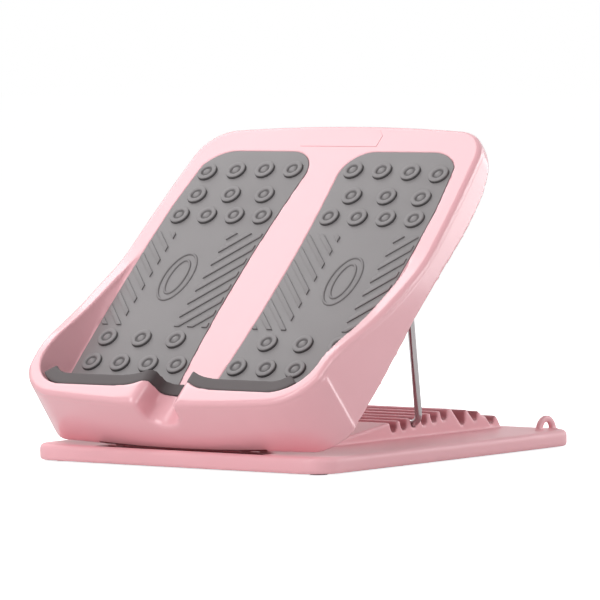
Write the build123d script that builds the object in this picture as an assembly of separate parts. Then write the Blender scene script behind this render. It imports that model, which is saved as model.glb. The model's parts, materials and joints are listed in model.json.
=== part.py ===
from build123d import *
import os
from math import acos, atan2, cos, degrees, exp, hypot, radians, sin, tan

# Slant board for calf stretching: a foot deck, hinged at its heel end to a notched base plate,
# is held up by a steel wire bail whose cross bar stands in one of the notches.
#
# X runs to the right, Y from the heel end to the toe end, and Z up. The origin is the middle of
# the board's footprint, on the surface that it stands on. The base is drawn in its own frame,
# centred on the plate with Z from its underside. The deck is drawn lying flat, with Y from its
# heel and Z out of the plane that the feet stand on, and is then tilted about its hinge.
# Lengths are millimetres and angles are degrees.

# Base plate
base_width = 345.0
base_depth = 417.0
base_height = 15.5
base_corner = 26.0
base_bow = 2.0
base_top_round = 4.5
base_low_round = 2.5
base_skin = 3.0
base_wall = 4.0
base_rib = 2.4
base_cell = 39.0

# Notched rack on the base plate
rack_width = 200.0
ramp_start = -130.0
ramp_end = -7.5
rack_front_top = 32.0
rack_rear_top = 40.0
rack_rear = 97.5
slot_first = 3.2
slot_pitch = 16.5
slot_count = 6
slot_depth = 6.4
slot_radius = 4.6
slot_flare = 20.0
slot_clearance = 0.3
tooth_round = 1.6
low_slots = [(116.3, 26.4), (137.5, 29.2), (165.5, 24.0)]
low_slot_radius = 3.8
low_slot_flare = 46.0
block_line = [(97.5, 39.4), (104.0, 38.2), (120.0, 36.8), (141.8, 34.8), (145.5, 32.6)]
tail_line = [(148.3, 30.6), (151.0, 29.6), (168.4, 28.7), (172.4, 28.0), (176.0, 25.2)]
tail_end = 182.5
rack_core_skin = 3.5
rack_core_front = 20.0
rack_core_rear = 10.0

# Rubber feet
foot_radius = 9.0
foot_thickness = 3.0
foot_stand = 1.5
foot_inset_x = 25.0
foot_inset_y = 27.0

# Band eyelets at the rear corners
eyelet_radius = 16.0
eyelet_sink = 2.2
eyelet_hole = 7.6
eyelet_root = 0.6
eyelet_thickness = 5.0
eyelet_round = 1.3
eyelet_x = 150.5
eyelet_y = 183.5

# Hinge between base and deck
hinge_setback = 22.4
hinge_rise = 9.8
hinge_in_deck = (8.0, -24.0)
hinge_x = 73.0
pin_radius = 3.0
pin_clearance = 0.05
knuckle_radius = 5.5
knuckle_length = 12.0
ear_length = 9.0
hinge_side_gap = 0.4
ear_front = 6.4
ear_rear = 19.0
ear_shoulder = (8.0, 2.0)
pin_head_radius = 4.6
pin_head_thickness = 2.0
push_nut_radius = 4.8
push_nut_thickness = 1.2
trough_half_width = 97.0
trough_front = 8.5
trough_rear = 30.0
trough_depth = 4.0

# Deck outline, in the deck's own frame, at the flange's lower level and at the heel rim's level.
# Each heel corner starts at a crease in the side, passes a middle point and runs into the heel.
deck_toe = 393.5
deck_heel = -5.0
deck_widest = 215.0
deck_half_low = 178.5
deck_half_high = 176.5
deck_toe_corner = (164.5, 384.5)
heel_corner_low = [(173.0, 30.0), (160.0, 11.8), (138.0, 3.5)]
heel_corner_high = [(168.5, 36.0), (151.4, 12.0), (124.0, 1.0)]
toe_round = 40.0
crease_round = 6.0
deck_drop = 33.0
deck_wall = 3.0
deck_skin = 4.8
rim_height = 38.5
rim_line = [(48.0, 38.5), (90.0, 30.3), (130.0, 17.8), (180.0, 6.6), (236.0, 0.0)]
rim_round = 4.5
flange_toe = -9.0
flange_line = [(372.0, -15.0), (362.0, -20.0), (350.0, -25.0), (330.0, -29.0), (300.0, -29.8)]
flange_line += [(270.0, -28.4), (230.0, -25.4), (195.0, -23.7), (165.0, -23.4), (125.0, -26.0)]
flange_line += [(90.0, -28.6), (33.0, -31.6), (6.0, -31.5), (2.2, -28.0), (-1.2, -26.2)]
flange_heel = -24.2

# Tray between the rims
tray_half = 160.0
tray_toe_corner = (144.5, 363.0)
tray_heel_corner = (156.0, 15.0)
tray_round = 40.0

# Shoulders and finger channel in the middle of the heel wall
nose_length = 19.5
nose_spread = 28.0
channel_radius = 15.0
channel_floor = 6.5
channel_lip = 9.0

# Foot pads and heel strips
pad_thickness = 2.5
pad_recess = 2.2
pad_gap = 0.3
pad_outer = 150.5
pad_outer_bow = 6.0
pad_inner = 16.0
pad_waist = 26.0
pad_toe = 357.0
pad_toe_outer_round = 38.0
pad_toe_inner_round = 30.0
nub_radius = 10.5
nub_height = 2.6
nub_rim = 4.0
nub_cup_depth = 1.5
nub_dome_radius = 3.2
nub_rows = [
    (331.0, 4, 35.5, 136.5, 4.5),
    (297.0, 3, 51.5, 132.0, 1.5),
    (269.0, 4, 39.5, 138.0, 1.0),
    (107.0, 3, 53.5, 135.0, 0.0),
    (75.5, 4, 35.0, 136.0, 0.0),
]
strip_thickness = 14.0
strip_below_rim = 1.0
strip_middle_gap = 14.0
strip_end_angle = 41.0

# Wire prop and its clamps
wire_radius = 3.5
wire_bend = 9.5
prop_half = 105.5
prop_leg = 186.51
prop_in_deck = (281.0, -25.0)
prop_shoulder = 6.0
rest_slot = 2
clamp_width = 12.0
clamp_length = 42.0
clamp_flange = 4.0
clamp_hump = 7.0
clamp_side_gap = 0.5
clamp_boss_border = 2.0
screw_radius = 1.7
screw_head_radius = 3.3
screw_head_height = 2.2
screw_spacing = 32.0
screw_length = 12.0

# Deck ribs
rib_thickness = 2.4
rib_drop = 17.0
rib_pitch = 44.0
bay_half = 112.0
bay_start = 58.0
bay_end = 380.0
heel_ribs = [0.0, 38.0, 116.0]


def rack_line(y):
    """Height of the rack's sloping top line."""
    rise = (rack_rear_top - rack_front_top) / (rack_rear - ramp_end)
    return rack_front_top + (y - ramp_end) * rise


def slot_seat(index):
    """Centre of the prop's bar in one of the evenly spaced notches, as (y, z)."""
    y = slot_first + index * slot_pitch
    return y, rack_line(y) - slot_depth


hinge_y = -base_depth / 2 + hinge_setback
hinge_z = base_height + hinge_rise


def deck_angle():
    """Tilt of the deck that stands the prop's bar in its rest notch."""
    bar_y, bar_z = slot_seat(rest_slot)
    to_bar = hypot(bar_y - hinge_y, bar_z - hinge_z)
    pivot_y = prop_in_deck[0] - hinge_in_deck[0]
    pivot_z = prop_in_deck[1] - hinge_in_deck[1]
    to_pivot = hypot(pivot_y, pivot_z)
    corner = acos((to_bar**2 + to_pivot**2 - prop_leg**2) / (2 * to_bar * to_pivot))
    return degrees(corner + atan2(bar_z - hinge_z, bar_y - hinge_y) - atan2(pivot_z, pivot_y))


tilt = deck_angle()
deck_place = (
    Pos(0, hinge_y, hinge_z) * Rot(tilt, 0, 0) * Pos(0, -hinge_in_deck[0], -hinge_in_deck[1])
)


standing = (Align.CENTER, Align.CENTER, Align.MIN)
hanging = (Align.CENTER, Align.CENTER, Align.MAX)


def profile(points):
    """Face from corner points in the Y-Z plane."""
    return Plane.YZ * make_face(Polyline(*points, close=True))


def across(face, width):
    """Solid of a Y-Z face, centred on X."""
    return extrude(face, width / 2, both=True)


def bar_along_x(x_start, x_end, y, z, radius):
    """Cylinder along X between two places."""
    middle = (x_start + x_end) / 2
    return Pos(middle, y, z) * Rot(0, 90, 0) * Cylinder(radius, abs(x_end - x_start))


def round_corner(face, place, radius):
    """Round the corner of a face that lies nearest to a place."""
    nearest = min(face.vertices(), key=lambda v: hypot(v.X - place[0], v.Y - place[1]))
    return fillet(nearest, radius)


def mirrored(shape):
    """The same shape on the other side of the board."""
    return mirror(shape, about=Plane.YZ)


# ---------------------------------------------------------------- base plate


def bowed_rectangle(inset):
    """Plate outline: four slightly bowed sides with round corners."""
    x = base_width / 2 - inset
    y = base_depth / 2 - inset
    corners = [
        (-x + base_bow, -y + base_bow),
        (x - base_bow, -y + base_bow),
        (x - base_bow, y - base_bow),
        (-x + base_bow, y - base_bow),
    ]
    middles = [(0, -y), (x, 0), (0, y), (-x, 0)]
    edges = []
    for index, middle in enumerate(middles):
        edges.append(ThreePointArc(corners[index], middle, corners[(index + 1) % 4]))
    face = make_face(edges)
    return fillet(face.vertices(), base_corner - inset)


def is_tooth_top(vertex):
    """Whether a corner lies on the sloping top line of the rack."""
    return abs(vertex.Z - rack_line(vertex.Y)) < 0.3


def slot_face(place, radius, flare, mouth):
    """One notch for the prop's bar: round bottom, upright rear wall and flared front wall."""
    y = place[0]
    z = place[1] + radius - wire_radius - slot_clearance
    touch = (y - radius * cos(radians(flare)), z - radius * sin(radians(flare)))
    reach = mouth - touch[1]
    outline = [
        (y + radius, z),
        (y + radius, mouth),
        (touch[0] - reach * tan(radians(flare)), mouth),
        touch,
    ]
    return profile(outline) + Plane.YZ * Pos(y, z) * Circle(radius)


def rack():
    """Ramp and notched rack, a block across the middle of the plate."""
    buried = base_height - 1.0
    outline = [(ramp_start, base_height), (ramp_end, rack_front_top), *block_line, *tail_line]
    outline += [(tail_end, base_height), (tail_end, buried), (ramp_start, buried)]
    face = profile(outline)
    mouth = rack_rear_top + 5.0
    for index in range(slot_count):
        face -= slot_face(slot_seat(index), slot_radius, slot_flare, mouth)
    teeth = [v for v in face.vertices() if ramp_end < v.Y < block_line[0][0] and is_tooth_top(v)]
    face = fillet(teeth, tooth_round)
    for place in low_slots:
        face -= slot_face(place, low_slot_radius, low_slot_flare, mouth)
    return across(face, rack_width)


def rack_core():
    """Room under the rack, which follows the bottoms of its notches."""
    first_y, first_z = slot_seat(0)
    last_y, last_z = slot_seat(slot_count - 1)
    under = wire_radius + slot_clearance + rack_core_skin
    start = ramp_start + rack_core_front
    end = tail_end - rack_core_rear
    outline = [
        (start, 0),
        (start, base_height - base_skin),
        (first_y, first_z - under),
        (last_y, last_z - under),
        (low_slots[0][0], low_slots[0][1] - under),
        (low_slots[2][0], low_slots[2][1] - under),
        (end, low_slots[2][1] - under),
        (end, 0),
    ]
    return across(profile(outline), rack_width - 2 * base_wall)


def foot_places():
    """Centres of the rubber feet, by name."""
    x = base_width / 2 - foot_inset_x
    y = base_depth / 2 - foot_inset_y
    places = {}
    for side, sign in (("left", -1), ("right", 1)):
        for row, y_sign in (("front", -1), ("middle", 0), ("rear", 1)):
            places[f"rubber_foot_{row}_{side}"] = (sign * x, y_sign * y)
    return places


def trough():
    """Hollow in the top of the plate that the deck's heel edge turns down into."""
    front = -base_depth / 2 + trough_front
    rear = -base_depth / 2 + trough_rear
    floor = base_height - trough_depth
    outline = [
        (front, base_height + 1.0),
        (front, base_height - 0.5),
        (front + 2.5, floor),
        (rear, floor),
        (rear, base_height + 1.0),
    ]
    return across(profile(outline), 2 * trough_half_width)


def underside_cells():
    """Pockets between the ribs under the plate, with bosses left for the feet."""
    columns = round((base_width - 2 * base_wall) / base_cell)
    rows = round((base_depth - 2 * base_wall) / base_cell)
    x_pitch = (base_width - 2 * base_wall + base_rib) / columns
    y_pitch = (base_depth - 2 * base_wall + base_rib) / rows
    cells = Sketch() + [
        place * Rectangle(x_pitch - base_rib, y_pitch - base_rib)
        for place in GridLocations(x_pitch, y_pitch, columns, rows)
    ]
    cells &= bowed_rectangle(base_wall)
    for place in foot_places().values():
        cells -= Pos(*place) * Circle(foot_radius + base_rib)
    low = extrude(cells, base_height - base_skin)
    high = extrude(cells, rack_rear_top) & rack_core()
    front = -base_depth / 2 + trough_front
    rear = -base_depth / 2 + trough_rear
    keep = Box(
        2 * trough_half_width + 2 * base_skin,
        rear - front + 2 * base_skin,
        trough_depth + base_skin,
        align=(Align.CENTER, Align.MIN, Align.MAX),
    )
    return low - Pos(0, front - base_skin, base_height) * keep + high


def hinge_ear(x_start, length):
    """Ear that leans forward over the trough to hold the hinge pin."""
    reach = knuckle_radius * cos(radians(45))
    root = base_height - trough_depth - 0.5
    outline = [
        (hinge_y, hinge_z + knuckle_radius),
        (hinge_y + ear_shoulder[0], hinge_z + ear_shoulder[1]),
        (hinge_y + ear_rear, root),
        (hinge_y + ear_front, root),
        (hinge_y + ear_front, base_height),
        (hinge_y + reach, hinge_z - reach),
        (hinge_y - 1.0, hinge_z),
    ]
    face = profile(outline) + Plane.YZ * Pos(hinge_y, hinge_z) * Circle(knuckle_radius)
    face -= Plane.YZ * Pos(hinge_y, hinge_z) * Circle(pin_radius)
    return Pos(x_start, 0, 0) * extrude(face, length)


def hinge_ears():
    """The four ears, two beside each knuckle of the deck."""
    inner = hinge_x - knuckle_length / 2 - hinge_side_gap - ear_length
    outer = hinge_x + knuckle_length / 2 + hinge_side_gap
    ears = [hinge_ear(inner, ear_length), hinge_ear(outer, ear_length)]
    return ears + [mirrored(ear) for ear in ears]


def eyelet():
    """Half ring that stands across the plate, for an exercise band."""
    ring = Pos(0, -eyelet_sink) * Circle(eyelet_radius) - Circle(eyelet_hole)
    room = Rectangle(2 * eyelet_radius, 2 * eyelet_radius, align=(Align.CENTER, Align.MIN))
    ring &= Pos(0, -eyelet_root) * room
    solid = extrude(Plane.YZ * ring, eyelet_thickness / 2, both=True)
    solid = fillet(solid.edges().filter_by(GeomType.CIRCLE), eyelet_round)
    return Pos(eyelet_x, eyelet_y, base_height) * solid


def base_plate():
    plate = extrude(bowed_rectangle(0), base_height)
    plate = fillet(plate.faces().sort_by(Axis.Z)[-1].edges(), base_top_round)
    plate = fillet(plate.faces().sort_by(Axis.Z)[0].edges(), base_low_round)
    plate += rack()
    plate -= trough()
    plate -= underside_cells()
    for ear in hinge_ears():
        plate += ear
    plate += eyelet()
    plate += mirrored(eyelet())
    for place in foot_places().values():
        seat = Cylinder(foot_radius, foot_thickness - foot_stand, align=standing)
        plate -= Pos(place[0], place[1], 0) * seat
    return plate


def rubber_foot(place):
    foot = Cylinder(foot_radius, foot_thickness, align=hanging)
    foot = fillet(foot.edges().sort_by(Axis.Z)[0], 0.8)
    return Pos(place[0], place[1], foot_thickness - foot_stand) * foot


# ---------------------------------------------------------------- hinge pins


def hinge_pin():
    """Steel pin with a flat head, pushed outwards through ears and knuckle."""
    inner = hinge_x - knuckle_length / 2 - hinge_side_gap - ear_length
    outer = hinge_x + knuckle_length / 2 + hinge_side_gap + ear_length
    tail = outer + push_nut_thickness + 1.5
    pin = bar_along_x(inner, tail, hinge_y, hinge_z, pin_radius)
    pin += bar_along_x(inner - pin_head_thickness, inner, hinge_y, hinge_z, pin_head_radius)
    return pin


def push_nut():
    """Spring-steel push nut on the end of the hinge pin."""
    outer = hinge_x + knuckle_length / 2 + hinge_side_gap + ear_length
    nut = bar_along_x(outer, outer + push_nut_thickness, hinge_y, hinge_z, push_nut_radius)
    return nut - bar_along_x(outer - 1, outer + 3, hinge_y, hinge_z, pin_radius)


# ---------------------------------------------------------------- deck


def deck_outline(inset, level):
    """Deck seen from above, drawn in by an inset, from level 0 at the flange to 1 at the rim."""
    toe_x, toe_y = deck_toe_corner[0] - inset, deck_toe_corner[1] - inset
    half = deck_half_low + level * (deck_half_high - deck_half_low) - inset
    corner = []
    for low, high, part in zip(heel_corner_low, heel_corner_high, (0.0, 45.0, 90.0)):
        x = low[0] + level * (high[0] - low[0]) - inset * cos(radians(part))
        y = low[1] + level * (high[1] - low[1]) + inset * sin(radians(part))
        corner.append((x, y))
    crease, middle, heel = corner
    left = [(-x, y) for x, y in corner]
    edges = [
        ThreePointArc((-toe_x, toe_y), (0, deck_toe - inset), (toe_x, toe_y)),
        ThreePointArc((toe_x, toe_y), (half, deck_widest), crease),
        ThreePointArc(crease, middle, heel),
        ThreePointArc(heel, (0, deck_heel + inset), left[2]),
        ThreePointArc(left[2], left[1], left[0]),
        ThreePointArc(left[0], (-half, deck_widest), (-toe_x, toe_y)),
    ]
    face = make_face(edges)
    for side in (-1, 1):
        face = round_corner(face, (side * toe_x, toe_y), toe_round - inset)
        face = round_corner(face, (side * crease[0], crease[1]), crease_round)
    return face


def deck_block(inset):
    """Deck's outside, drawn in by an inset, from below the flange to above the heel rim."""
    height = deck_drop + rim_height
    ends = []
    for level in (-0.2, 1.2):
        ends.append(Pos(0, 0, level * height - deck_drop) * deck_outline(inset, level))
    return loft(ends, ruled=True)


def deck_side(drop, lower):
    """Deck seen from the side: a top line that rises to the heel, over a lower edge."""
    start = deck_heel - 10.0
    end = deck_toe + 10.0
    curve = [(y, z - drop) for y, z in rim_line]
    upper = [
        Line((start, rim_height - drop), curve[0]),
        Spline(*curve, tangents=[(1, 0), (1, 0)]),
        Line(curve[-1], (end, -drop)),
        Polyline((end, -drop), *lower, (start, rim_height - drop)),
    ]
    return Plane.YZ * make_face(upper)


def flange_edge():
    """Lower edge of the deck's flange, from toe to heel, cut back where it turns over the plate."""
    toe = [(deck_toe + 10.0, flange_toe), (deck_toe - 10.0, flange_toe)]
    heel = [(deck_heel - 1.0, flange_heel), (deck_heel - 10.0, flange_heel)]
    return toe + flange_line + heel


def nose_curve(shift):
    """Edge of the heel wall where it swells round the finger channel."""
    reach = 2.3 * nose_spread
    steps = 8
    points = []
    for index in range(-steps, steps + 1):
        x = reach * index / steps
        points.append((x, tray_heel_corner[1] + shift + nose_length * exp(-((x / nose_spread) ** 2))))
    return points


def tray(inset):
    """Room between the rims, seen from above, drawn in by an inset."""
    toe_x, toe_y = tray_toe_corner[0] - inset, tray_toe_corner[1]
    heel_x, front = tray_heel_corner[0] - inset, tray_heel_corner[1] + inset
    half = tray_half - inset
    edges = [
        Line((-toe_x, toe_y), (toe_x, toe_y)),
        ThreePointArc((toe_x, toe_y), (half, deck_widest), (heel_x, front)),
        Line((heel_x, front), (-heel_x, front)),
        ThreePointArc((-heel_x, front), (-half, deck_widest), (-toe_x, toe_y)),
    ]
    face = make_face(edges)
    for side in (-1, 1):
        face = round_corner(face, (side * heel_x, front), tray_round - inset)
    curve = nose_curve(inset)
    below = front - 5.0
    sill = Polyline(curve[-1], (curve[-1][0], below), (curve[0][0], below), curve[0])
    return face - make_face([Spline(*curve), sill])


def channel(grow):
    """Finger channel through the heel wall, with a round floor and lips that roll outwards."""
    radius = channel_radius + grow
    centre = channel_floor + channel_radius
    lip = channel_lip - grow
    side = radius + 1.0
    top = rim_height + 20.0
    half = [
        RadiusArc((0, channel_floor - grow), (radius, centre), -radius),
        Line((radius, centre), (side, rim_height - lip)),
        RadiusArc((side, rim_height - lip), (side + lip, rim_height), lip),
        Polyline((side + lip, rim_height), (side + lip, top), (0, top), (0, channel_floor - grow)),
    ]
    face = make_face(half)
    solid = extrude(Plane.XZ * face, -(tray_heel_corner[1] + nose_length + 30.0))
    solid = Pos(0, -12.0, 0) * solid
    return solid + mirrored(solid)


def strip_band(thickness):
    """Right half of the band along the heel wall, seen from above, up to the round corner."""
    corner_x = tray_heel_corner[0] - tray_round
    corner_y = tray_heel_corner[1] + tray_round
    end = radians(strip_end_angle)
    beyond = (corner_x + 2 * tray_round * cos(end), corner_y - 2 * tray_round * sin(end))
    sector = Polyline((0, 0), (beyond[0], 0), beyond, (corner_x, corner_y), (0, corner_y), close=True)
    return (tray(0) - tray(thickness)) & make_face(sector)


def pad_outline(gap):
    """Right foot pad seen from above: bowed outer edge, waisted inner edge and round toe end."""
    outer = pad_outer + gap
    inner = pad_inner - gap
    toe = pad_toe + gap
    heel = tray_heel_corner[1] - 5.0
    middle = deck_widest - 30.0
    edges = [
        ThreePointArc((outer, heel), (outer + pad_outer_bow, middle), (outer, toe)),
        Line((outer, toe), (inner, toe)),
        ThreePointArc((inner, toe), (pad_waist - gap, middle), (inner, heel)),
        Line((inner, heel), (outer, heel)),
    ]
    face = make_face(edges)
    face = round_corner(face, (outer, toe), pad_toe_outer_round + gap)
    face = round_corner(face, (inner, toe), pad_toe_inner_round + gap)
    return (face & tray(pad_gap - gap)) - strip_band(strip_thickness + pad_gap - gap)


def knuckle():
    """Right hinge knuckle, with the web that joins it to the deck's skin."""
    hinge_v, hinge_w = hinge_in_deck
    inner = hinge_x - knuckle_length / 2
    outer = hinge_x + knuckle_length / 2
    web = Box(knuckle_length, 2 * knuckle_radius - 1.0, -hinge_w, align=standing)
    barrel = bar_along_x(inner, outer, hinge_v, hinge_w, knuckle_radius)
    return Pos(hinge_x, hinge_v, hinge_w) * web + barrel


clamp_start = prop_half + prop_shoulder + clamp_side_gap
clamp_seat = prop_in_deck[1] + clamp_hump


def clamp_boss():
    """Block under the deck's skin that the right prop clamp is screwed to."""
    block = Box(
        clamp_width + 2 * clamp_boss_border,
        clamp_length,
        -clamp_seat,
        align=(Align.MIN, Align.CENTER, Align.MIN),
    )
    return Pos(clamp_start - clamp_boss_border, prop_in_deck[0], clamp_seat) * block


def screw_places():
    """Screw axes of the right clamp, in the deck's frame."""
    x = clamp_start + clamp_width / 2
    return [(x, prop_in_deck[0] + side * screw_spacing / 2) for side in (-1, 1)]


def upright(x_size, y_size, x, y):
    """Rib or block of the deck, from the ribs' lower edge up through the skin."""
    height = rib_drop + rim_height
    return Pos(x, y, -rib_drop) * Box(x_size, y_size, height, align=standing)


def deck_ribs():
    """Ribs under the deck, which leave a bay for the rack and the folded prop."""
    length = bay_end - bay_start
    middle = (bay_end + bay_start) / 2
    side_width = deck_half_low - bay_half
    ribs = [upright(2 * deck_half_low, rib_thickness, 0, y) for y in (bay_start, bay_end)]
    count = round(length / rib_pitch)
    for side in (-1, 1):
        ribs.append(upright(rib_thickness, length, side * bay_half, middle))
        for index in range(1, count):
            x = side * (bay_half + side_width / 2)
            ribs.append(upright(side_width, rib_thickness, x, bay_start + index * length / count))
        for x in heel_ribs:
            ribs.append(upright(rib_thickness, bay_start, side * x, bay_start / 2))
    return ribs


def deck_hollow():
    """Everything that is cored out of the deck from below."""
    below = [(deck_toe + 10.0, -2 * deck_drop), (deck_heel - 10.0, -2 * deck_drop)]
    hollow = deck_block(deck_wall) & across(deck_side(deck_skin, below), 3 * deck_half_low)
    hollow -= Pos(0, 0, -deck_skin) * extrude(tray(-deck_wall), 3 * rim_height)
    hollow -= channel(deck_wall)
    for rib in deck_ribs():
        hollow -= rib
    for solid in (knuckle(), clamp_boss()):
        hollow -= solid
        hollow -= mirrored(solid)
    return hollow


def is_seam(edge):
    """Whether an edge runs along the board's middle plane."""
    box = edge.bounding_box()
    return max(abs(box.min.X), abs(box.max.X)) < 1.0


def deck_shell():
    shell = deck_block(0) & across(deck_side(0, flange_edge()), 3 * deck_half_low)
    tops = [e for e in shell.edges() if e.bounding_box().min.Z > -1.0]
    rim = [e for e in tops if e.geom_type != GeomType.LINE and not is_seam(e)]
    shell = fillet(rim, rim_round)
    shell -= extrude(tray(0), 2 * rim_height)
    shell -= channel(0)
    shell -= deck_hollow()
    bore = bar_along_x(0, deck_half_low / 2, *hinge_in_deck, pin_radius + pin_clearance)
    for side_of in (lambda shape: shape, mirrored):
        shell -= side_of(Pos(0, 0, -pad_recess) * extrude(pad_outline(pad_gap), 2 * pad_recess))
        shell -= side_of(bore)
        for x, y in screw_places():
            shell -= side_of(Pos(x, y, clamp_seat) * Cylinder(screw_radius, 2 * screw_length - 8.0))
    return shell


# ---------------------------------------------------------------- pads and strips


def nub():
    """Massage nub: a round button with a rim, a dished ring and a dome in the middle."""
    top = nub_height
    floor = nub_height - nub_cup_depth
    section = Polyline(
        (0, -0.2),
        (nub_radius, -0.2),
        (nub_radius - 0.8, top),
        (nub_radius - nub_rim, top),
        (nub_dome_radius + 1.0, floor),
        (nub_dome_radius - 1.0, top - 0.2),
        (0, top),
        close=True,
    )
    return revolve(Plane.XZ * make_face(section), Axis.Z)


def foot_pad():
    """Right foot pad with its rows of nubs."""
    top = pad_thickness - pad_recess
    pad = Pos(0, 0, -pad_recess) * extrude(pad_outline(0), pad_thickness)
    button = nub()
    for y, count, first, last, sag in nub_rows:
        for index in range(count):
            along = index / (count - 1)
            pad += Pos(first + along * (last - first), y - sag * along**2, top) * button
    return pad


def heel_strip():
    """Right heel strip, a thick lining along the heel wall that dips into the finger channel."""
    outside = Rectangle(deck_half_low, deck_half_low, align=(Align.MIN, Align.MIN))
    band = strip_band(strip_thickness) & Pos(strip_middle_gap, 0) * outside
    return extrude(band, rim_height - strip_below_rim) - channel(0)


# ---------------------------------------------------------------- wire prop


def pivot_place():
    """Centre of the prop's pivot in the base's frame, as (y, z)."""
    place = (deck_place * Pos(0, *prop_in_deck)).position
    return place.Y, place.Z


def prop_wire():
    """Wire bail: cross bar in the rest notch, two legs, and ends turned out into the clamps."""
    bar = slot_seat(rest_slot)
    pivot = pivot_place()
    end = clamp_start + clamp_width + clamp_side_gap
    points = [(-end, *pivot), (-prop_half, *pivot), (-prop_half, *bar)]
    points += [(prop_half, *bar), (prop_half, *pivot), (end, *pivot)]
    bends = [prop_shoulder, wire_bend, wire_bend, prop_shoulder]
    path = FilletPolyline(*points, radius=bends)
    return sweep(Plane(path @ 0, z_dir=path % 0) * Circle(wire_radius), path=path)


def prop_clamp():
    """Right clamp: a saddle with a bored hump and a flange for two screws."""
    pivot_v, pivot_w = prop_in_deck
    face = Pos(pivot_v, clamp_seat - clamp_flange / 2) * Rectangle(clamp_length, clamp_flange)
    face += Pos(pivot_v, pivot_w + clamp_hump / 2) * Rectangle(2 * clamp_hump, clamp_hump)
    face += Pos(pivot_v, pivot_w) * Circle(clamp_hump)
    face -= Pos(pivot_v, pivot_w) * Circle(wire_radius + pin_clearance)
    clamp = Pos(clamp_start, 0, 0) * extrude(Plane.YZ * face, clamp_width)
    for x, y in screw_places():
        clamp -= Pos(x, y, clamp_seat) * Cylinder(screw_radius, 3 * clamp_flange)
    return clamp


def clamp_screws():
    """The four pan-head screws that hold both clamps."""
    under = clamp_seat - clamp_flange
    shank = Cylinder(screw_radius, screw_length, align=standing)
    head = Cylinder(screw_head_radius, screw_head_height, align=hanging)
    screw = shank + fillet(head.edges().sort_by(Axis.Z)[0], 0.9)
    screws = []
    for x, y in screw_places():
        screws += [Pos(x, y, under) * screw, Pos(-x, y, under) * screw]
    return screws


# ---------------------------------------------------------------- assembly


def pair(name, right):
    """A right-hand piece and its mirror image, by name."""
    return {name + "_right": right, name + "_left": mirrored(right)}


def main():
    base_pieces = {"base_plate": base_plate()}
    base_pieces |= pair("hinge_pin", hinge_pin())
    base_pieces |= pair("pin_push_nut", push_nut())
    for name, place in foot_places().items():
        base_pieces[name] = rubber_foot(place)
    base_pieces["prop_wire"] = prop_wire()

    deck_pieces = {"deck_shell": deck_shell(), "clamp_screws": Compound(children=clamp_screws())}
    deck_pieces |= pair("foot_pad", foot_pad())
    deck_pieces |= pair("heel_strip", heel_strip())
    deck_pieces |= pair("prop_clamp", prop_clamp())

    nodes = dict(base_pieces)
    for name, piece in deck_pieces.items():
        nodes[name] = deck_place * piece
    front = nodes["deck_shell"].bounding_box().min.Y
    rear = nodes["base_plate"].bounding_box().max.Y
    centre = Pos(0, -(front + rear) / 2, foot_stand)

    os.makedirs("parts", exist_ok=True)
    for name, piece in nodes.items():
        export_step(centre * piece, f"parts/{name}.step")
    hinge = (centre * Pos(0, hinge_y, hinge_z)).position
    pivot = (centre * Pos(0, *pivot_place())).position
    print(f"deck tilt {tilt:.3f}")
    print(f"deck hinge y {hinge.Y:.3f} z {hinge.Z:.3f}")
    print(f"prop pivot y {pivot.Y:.3f} z {pivot.Z:.3f}")
    print(f"plate centre y {centre.position.Y:.3f}")


main()
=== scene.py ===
import json
import math

import bmesh
import bpy
import numpy as np
from mathutils import Matrix, Vector

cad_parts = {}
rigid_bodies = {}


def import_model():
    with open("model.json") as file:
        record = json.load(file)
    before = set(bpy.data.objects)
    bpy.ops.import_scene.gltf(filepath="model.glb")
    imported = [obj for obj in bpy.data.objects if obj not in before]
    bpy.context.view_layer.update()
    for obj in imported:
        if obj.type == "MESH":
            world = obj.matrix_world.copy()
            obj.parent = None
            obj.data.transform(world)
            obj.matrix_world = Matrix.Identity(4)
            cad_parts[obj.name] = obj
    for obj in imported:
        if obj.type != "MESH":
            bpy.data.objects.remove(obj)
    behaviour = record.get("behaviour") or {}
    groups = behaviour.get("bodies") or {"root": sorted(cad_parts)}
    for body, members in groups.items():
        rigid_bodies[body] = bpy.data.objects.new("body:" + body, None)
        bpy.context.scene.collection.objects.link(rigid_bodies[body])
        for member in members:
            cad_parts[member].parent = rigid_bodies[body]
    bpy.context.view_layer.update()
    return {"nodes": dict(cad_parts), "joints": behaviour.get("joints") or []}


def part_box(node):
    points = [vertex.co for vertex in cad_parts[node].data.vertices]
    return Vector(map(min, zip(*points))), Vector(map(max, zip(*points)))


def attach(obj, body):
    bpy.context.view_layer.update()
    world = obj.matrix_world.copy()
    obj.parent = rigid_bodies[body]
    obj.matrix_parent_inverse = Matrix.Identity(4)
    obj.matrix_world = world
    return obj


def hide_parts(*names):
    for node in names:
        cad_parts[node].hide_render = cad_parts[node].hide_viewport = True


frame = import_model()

nodes = frame["nodes"]

# ---------------------------------------------------------------- places
# Pieces of the deck are made lying flat, in metres: X to the right, Y from the heel, and Z out of
# the plane that the feet stand on. deck_place tilts them about the hinge.

DECK_TILT = 43.872
HINGE_IN_DECK = (0.0, 0.008, -0.024)
HINGE = Vector(frame["joints"][0]["pos_m"])
PIVOT = Vector(frame["joints"][1]["pos_m"])

deck_place = (
    Matrix.Translation(HINGE)
    @ Matrix.Rotation(math.radians(DECK_TILT), 4, "X")
    @ Matrix.Translation(-Vector(HINGE_IN_DECK))
)
deck_flat = deck_place.inverted()

# ---------------------------------------------------------------- shader helpers


def srgb(red, green, blue):
    """Linear colour, with alpha, from 0-255 screen values."""
    def linear(value):
        value /= 255.0
        return value / 12.92 if value <= 0.04045 else ((value + 0.055) / 1.055) ** 2.4
    return (linear(red), linear(green), linear(blue), 1.0)


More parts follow.
